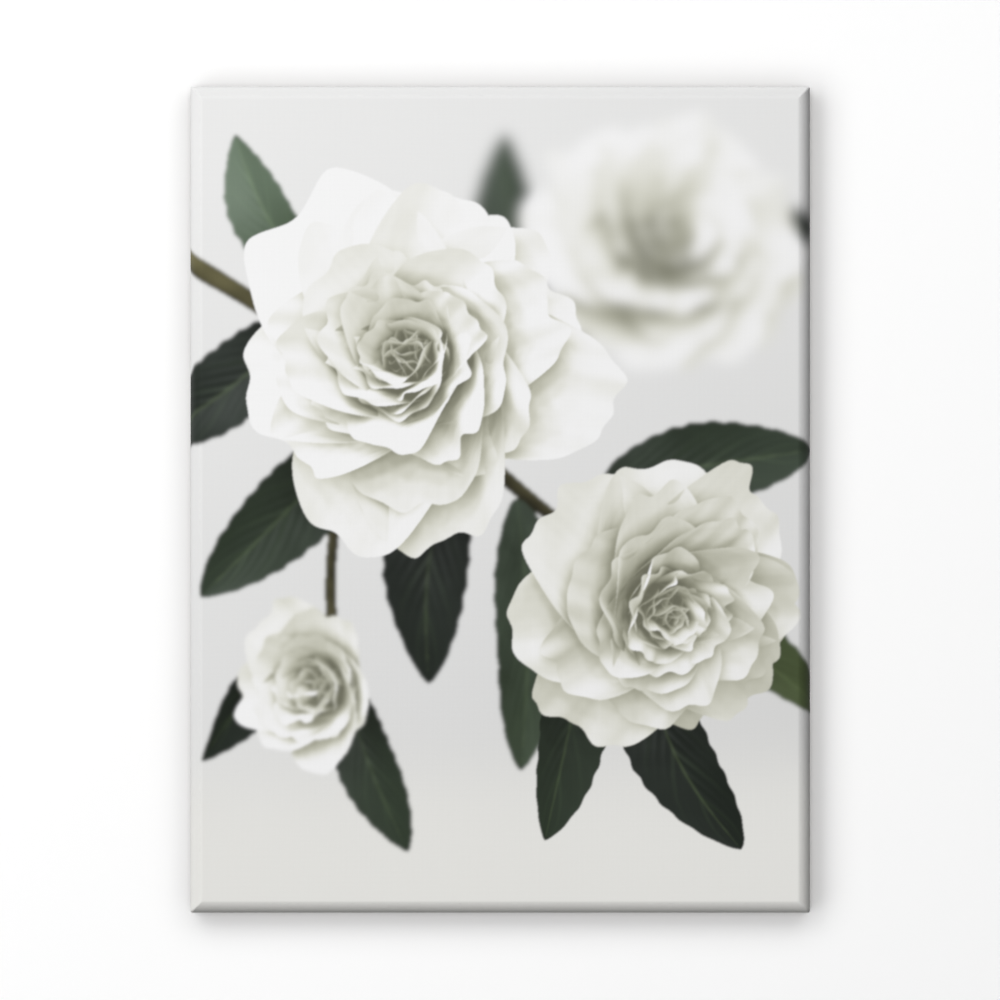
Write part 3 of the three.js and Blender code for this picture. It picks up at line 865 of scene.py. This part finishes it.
def canvas_material():
    """Plain-woven cloth with a matt print: threads of uneven thickness, with slubs, and painted shade that
    darkens the print a little between the threads.
    """
    material, tree, shader = new_material("printed_canvas")
    ink = add_node(tree, "Attribute", {"attribute_name": "print"}).outputs["Color"]
    flat = add_node(tree, "Attribute", {"attribute_name": "flat"}).outputs["Vector"]
    parts = add_node(tree, "SeparateXYZ", _0=flat).outputs
    waves = []
    for axis, stretched in ((0, (0.9, 0.02, 1)), (1, (0.02, 0.9, 1))):
        uneven = noise(tree, scaled(tree, flat, stretched), 1.0, 2.0)
        turn = maths(tree, "MULTIPLY", parts[axis], math.pi / THREAD)
        turn = maths(tree, "MULTIPLY_ADD", uneven, 2.4, turn)
        waves.append(maths(tree, "SINE", turn))
    weave = maths(tree, "ABSOLUTE", maths(tree, "MULTIPLY", *waves))
    fuzz = noise(tree, flat, 2.6, 4.0)
    height = maths(tree, "MULTIPLY_ADD", fuzz, 0.6, weave)
    slubs = []
    for stretched in ((0.03, 1.1, 1), (1.1, 0.03, 1)):
        slubs.append(noise(tree, scaled(tree, flat, stretched), 1.0, 3.0))
    slub = maths(tree, "SUBTRACT", maths(tree, "ADD", *slubs), 1.0)
    strength = maths(tree, "MULTIPLY_ADD", parts[2], 0.34, 0.015)
    # painted shade: the colour is a little darker between the threads, where the weave is low; the slubs add
    # real tone
    tint = maths(tree, "MULTIPLY_ADD", weave, 0.02, 0.985)
    tint = maths(tree, "ADD", tint, maths(tree, "MULTIPLY", slub, strength))
    ink_with_weave_shade_and_slubs = mix_colour(tree, 1.0, ink, tint, "MULTIPLY")
    rough = maths(tree, "MULTIPLY_ADD", fuzz, 0.12, 0.62)
    feed(tree, shader, ink_with_weave_shade_and_slubs, rough, height, 0.5, 0.05)
    shader.inputs["Specular IOR Level"].default_value = 0.1
    shader.inputs["Sheen Weight"].default_value = 0.02
    shader.inputs["Sheen Roughness"].default_value = 0.5
    return material


def wood_material(name, grain, offset, pale, dark, ring_width, knots):
    """Planed wood, its grain along an axis (0 for x, 2 for z): year rings, pores, knots and dirt."""
    material, tree, shader = new_material(name)
    place = add_node(tree, "TexCoord").outputs["Object"]
    turn = (0, math.pi / 2, 0) if grain == 0 else (0, 0, 0)
    turned = add_node(tree, "Mapping", _0=place, Location=offset, Rotation=turn).outputs[0]
    long = scaled(tree, turned, (1, 1, 0.035))
    drift = noise(tree, long, 38.0, 2.0)
    knot_place = scaled(tree, turned, (1, 1, 0.55))
    knot = add_node(tree, "TexVoronoi", Vector=knot_place, Scale=knots).outputs["Distance"]
    knot_near = fade(tree, knot, 0.05, 0.32, 1.0, 0.0)
    parts = add_node(tree, "SeparateXYZ", _0=turned).outputs
    squares = [maths(tree, "POWER", parts[axis], 2.0) for axis in (0, 1)]
    radius = maths(tree, "SQRT", maths(tree, "ADD", *squares))
    bent = maths(tree, "MULTIPLY_ADD", drift, 0.016, radius)
    bent = maths(tree, "MULTIPLY_ADD", knot_near, 0.006, bent)
    rings = maths(tree, "FRACT", maths(tree, "DIVIDE", bent, ring_width * MM))
    late = ramp(tree, rings, [(0.0, (0, 0, 0)), (0.62, (0.25,) * 3), (0.93, (1, 1, 1)), (1.0, (0, 0, 0))])
    fibre = noise(tree, scaled(tree, turned, (1, 1, 0.02)), 1400.0, 3.0)
    patch = noise(tree, long, 14.0, 3.0)
    share = maths(tree, "MULTIPLY_ADD", late, 0.50, maths(tree, "MULTIPLY", fibre, 0.35))
    share = maths(tree, "MULTIPLY_ADD", patch, 0.40, maths(tree, "SUBTRACT", share, 0.20))
    base = ramp(tree, share, [(0.0, pale), (0.85, dark)])
    core = fade(tree, knot, 0.03, 0.10, 0.75, 0.0)
    base = mix_colour(tree, core, base, (0.16, 0.065, 0.022, 1))
    dirt = fade(tree, noise(tree, place, 60.0, 5.0), 0.58, 0.78, 0.0, 0.35)
    base = mix_colour(tree, dirt, base, (0.36, 0.25, 0.14, 1))
    rough = maths(tree, "MULTIPLY_ADD", late, -0.12, 0.72)
    height = maths(tree, "MULTIPLY_ADD", fibre, 0.7, maths(tree, "MULTIPLY", late, 0.5))
    feed(tree, shader, base, rough, height, 0.45, 0.12)
    shader.inputs["Specular IOR Level"].default_value = 0.3
    return material


def metal_material(name, colour, tarnish, roughness, scratch_scale):
    """Plated metal with fine scratches and dull spots."""
    material, tree, shader = new_material(name)
    place = add_node(tree, "TexCoord").outputs["Object"]
    drawn = scaled(tree, place, (0.12, 1, 1), turn=(0.3, 0.2, 0.5))
    scratch = noise(tree, drawn, scratch_scale, 3.0)
    dull = fade(tree, noise(tree, place, 180.0, 2.0), 0.45, 0.85, 0.0, 0.6)
    base = mix_colour(tree, dull, (*colour, 1), (*tarnish, 1))
    rough = maths(tree, "MULTIPLY_ADD", scratch, 0.20, roughness - 0.06)
    rough = maths(tree, "MULTIPLY_ADD", dull, 0.25, rough)
    feed(tree, shader, base, rough, scratch, 0.06, 0.012)
    shader.inputs["Metallic"].default_value = 1.0
    return material


WELD_GAP = 0.002
FLAT_WITHIN = math.radians(0.5)
SHARP_OVER = math.radians(30)


def finish_node(name, material, bevel):
    """Softens a carried-over node's edges and gives it its material."""
    made = NODES[name]
    weld = made.modifiers.new("weld", "WELD")
    weld.merge_threshold = WELD_GAP * MM
    flat = made.modifiers.new("flat", "DECIMATE")
    flat.decimate_type = "DISSOLVE"
    flat.angle_limit = FLAT_WITHIN
    soft = made.modifiers.new("soft", "BEVEL")
    soft.width = bevel * MM
    soft.segments = 2
    soft.limit_method = "ANGLE"
    soft.angle_limit = SHARP_OVER
    made.data.materials.clear()
    made.data.materials.append(material)


# ---- Stage ----
WALL_Y = 1.0  # just behind the hanger
FLOOR_Z = -1400.0
WALL_HALF = 2.2
FLOOR_REACH = 7.0


def one_sided_material(name, colour):
    """A pale matt surface that can't be seen from behind."""
    material, tree, shader = new_material(name)
    shader.inputs["Base Color"].default_value = (*colour, 1)
    shader.inputs["Roughness"].default_value = 0.9
    shader.inputs["Specular IOR Level"].default_value = 0.0
    clear = add_node(tree, "BsdfTransparent").outputs[0]
    behind = add_node(tree, "NewGeometry").outputs["Backfacing"]
    both = add_node(tree, "MixShader", _0=behind, _1=shader.outputs[0], _2=clear).outputs[0]
    tree.links.new(both, tree.nodes["Material Output"].inputs["Surface"])
    return material


def stage_plane(name, corners, material):
    """A flat stage piece that only the camera sees, so that lamps behind it light the back."""
    mesh = bpy.data.meshes.new(name)
    mesh.from_pydata(corners, [], [(0, 1, 2, 3)])
    mesh.materials.append(material)
    made = new_object(name, mesh)
    for ray in ("diffuse", "glossy", "transmission", "shadow"):
        setattr(made, f"visible_{ray}", False)
    return made


def make_stage():
    """The wall and a floor well below."""
    y, z = WALL_Y * MM, FLOOR_Z * MM
    half, far = WALL_HALF, FLOOR_REACH
    wall = [(-half, y, z), (half, y, z), (half, y, half), (-half, y, half)]
    floor = [(-far, -far, z), (far, -far, z), (far, far, z), (-far, far, z)]
    return (
        stage_plane("wall", wall, one_sided_material("wall_white", (0.98, 0.98, 0.98))),
        stage_plane("floor", floor, one_sided_material("floor_white", (0.80, 0.80, 0.79))),
    )


# ---- Light, in metres ----
LAMP_ORIGIN = Vector((0, 0, -0.164))  # lamps are placed from the middle of the print
ROOM_LIGHT = 0.04
ROOM_COLOUR = (0.78, 0.78, 0.78, 1)
ROOM_IN_GLOSS = 0.2  # share of it that glossy surfaces mirror


def lamp(name, place, size, power, receivers, aim=None):
    """A soft area lamp for its receivers alone, aimed at the print if not told where."""
    data = bpy.data.lights.new(name, "AREA")
    data.shape = "RECTANGLE"
    data.size, data.size_y = size
    data.energy = power
    made = new_object(name, data)
    aim = Vector((0, FRONT, CENTRE_Z)) * MM if aim is None else LAMP_ORIGIN + Vector(aim)
    made.location = LAMP_ORIGIN + Vector(place)
    made.rotation_mode = "QUATERNION"
    made.rotation_quaternion = (aim - made.location).to_track_quat("-Z", "Y")
    made.visible_camera = False
    made.light_linking.receiver_collection = receivers


def linked(name, objects):
    """A collection that lamps are linked to."""
    made = bpy.data.collections.new(name)
    for one in objects:
        made.objects.link(one)
    return made


def light_scene(wall, floor, part):
    """Soft studio light: lamps for the wall, a key high on the left, and weak ones round and behind.

    The side lamps stand for light that the wall throws back.
    """
    on_wall = linked("lit_wall", [wall])
    on_floor = linked("lit_floor", [floor])
    on_part = linked("lit_part", part)
    on_frame = linked("lit_frame", part[1:])
    lamp("wall_left", (-1.5, -2.0, 0), (1.8, 3.0), 36, on_wall, aim=(-1.5, 0, 0))
    lamp("wall_right", (1.5, -2.0, 0), (1.8, 3.0), 11, on_wall, aim=(1.5, 0, 0))
    lamp("wall_top", (0, -2.0, 1.5), (3.0, 1.8), 31.5, on_wall, aim=(0, 0, 1.5))
    lamp("wall_bottom", (0, -2.0, -1.5), (3.0, 1.8), 6.5, on_wall, aim=(0, 0, -1.5))
    lamp("wall_front", (0, -4.0, 0), (1.2, 1.2), 38, on_wall)
    lamp("key", (-1.14, -3.08, 1.074), (2.6, 2.6), 136.5, on_part)
    lamp("side_left", (-2.0, 1.2, 0), (0.8, 1.6), 22, on_part)
    lamp("side_top", (0, 1.2, 2.0), (1.6, 0.8), 26.5, on_part)
    lamp("side_right", (2.0, 1.2, 0), (0.8, 1.6), 10.5, on_part)
    lamp("side_low", (0, 1.2, -2.0), (1.6, 0.8), 11, on_part)
    lamp("behind", (0.45, 2.9, 0.264), (1.0, 1.0), 9, on_part)
    lamp("behind_side", (1.9, 1.5, 1.664), (0.8, 0.8), 16, on_frame)
    above = bpy.data.lights.new("floor_light", "SUN")
    above.energy = 3.0
    above.angle = math.radians(40)
    new_object("floor_light", above).light_linking.receiver_collection = on_floor


def make_room():
    """A little light from all round, and a pale grey where the stage ends."""
    world = bpy.data.worlds.new("room")
    world.use_nodes = True
    tree = world.node_tree
    dim = tree.nodes["Background"]
    dim.inputs["Color"].default_value = (1, 1, 1, 1)
    dim.inputs["Strength"].default_value = ROOM_LIGHT
    pale = add_node(tree, "Background", Color=ROOM_COLOUR, Strength=1.0).outputs[0]
    ray = add_node(tree, "LightPath").outputs
    in_gloss = maths(tree, "MULTIPLY", ray["Is Glossy Ray"], ROOM_IN_GLOSS)
    seen = maths(tree, "MAXIMUM", ray["Is Camera Ray"], in_gloss)
    both = add_node(tree, "MixShader", _0=seen, _1=dim.outputs[0], _2=pale).outputs[0]
    tree.links.new(both, tree.nodes["World Output"].inputs["Surface"])
    bpy.context.scene.world = world


# ---- Camera ----
LENS = 200.0
SENSOR = 36.0
IMAGE = 1000  # pixels
OUTLINE_LEFT, OUTLINE_RIGHT = 190.6, 809.9  # columns of the picture's sides
OUTLINE_TOP, OUTLINE_BOTTOM = 86.8, 912.6  # rows


def make_camera():
    """Straight in front, as far off as makes the outline its size in the image."""
    scale = 2 * HALF_WIDTH / (OUTLINE_RIGHT - OUTLINE_LEFT)
    distance = scale * IMAGE * LENS / SENSOR
    middle_column, middle_row = (OUTLINE_LEFT + OUTLINE_RIGHT) / 2, (OUTLINE_TOP + OUTLINE_BOTTOM) / 2
    data = bpy.data.cameras.new("camera")
    data.lens = LENS
    data.sensor_width = SENSOR
    made = new_object("camera", data)
    x = (IMAGE / 2 - middle_column) * scale
    z = CENTRE_Z + (middle_row - IMAGE / 2) * scale
    made.location = Vector((x, FRONT + EDGE_DEPTH - distance, z)) * MM
    made.rotation_euler = (math.pi / 2, 0, 0)
    data.clip_start, data.clip_end = 0.1, 50
    bpy.context.scene.camera = made


# ---- Making everything ----
BARS = {"bar_bottom": 0, "bar_right": 2, "bar_top": 0, "bar_left": 2}


def main():
    """Builds the scene."""
    bpy.context.scene.view_settings.view_transform = "Standard"
    make_camera()
    cloth = make_cloth(paint(FINE))
    cloth.data.materials.append(canvas_material())
    cloth.visible_diffuse = False  # so that its sides don't fill the shadow on the wall
    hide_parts("canvas")
    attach(cloth, "root")
    for k, (name, grain) in enumerate(BARS.items()):
        offset = (0.031 + 0.017 * k, 0.024 - 0.007 * k, 0.13 * k)
        pine = wood_material(f"pine_{k}", grain, offset, (0.78, 0.60, 0.37), (0.50, 0.30, 0.13), 3.1, 5.5)
        finish_node(name, pine, 0.35)
    key_wood = wood_material("key_wood", 2, (0.2, 0.1, 0), (0.62, 0.43, 0.25), (0.40, 0.24, 0.11), 1.6, 0.5)
    steel = metal_material("staple_steel", (0.60, 0.61, 0.63), (0.36, 0.37, 0.38), 0.34, 2500.0)
    brass = metal_material("hanger_brass", (0.78, 0.58, 0.27), (0.45, 0.33, 0.15), 0.28, 1500.0)
    finishes = {"key": (key_wood, 0.2), "staple": (steel, 0.14), "hanger": (brass, 0.12)}
    for name in NODES:
        kind = name.split("_")[0]
        if kind in finishes:
            finish_node(name, *finishes[kind])
    part = [cloth] + [NODES[name] for name in NODES if name != "canvas"]
    wall, floor = make_stage()
    light_scene(wall, floor, part)
    make_room()


main()
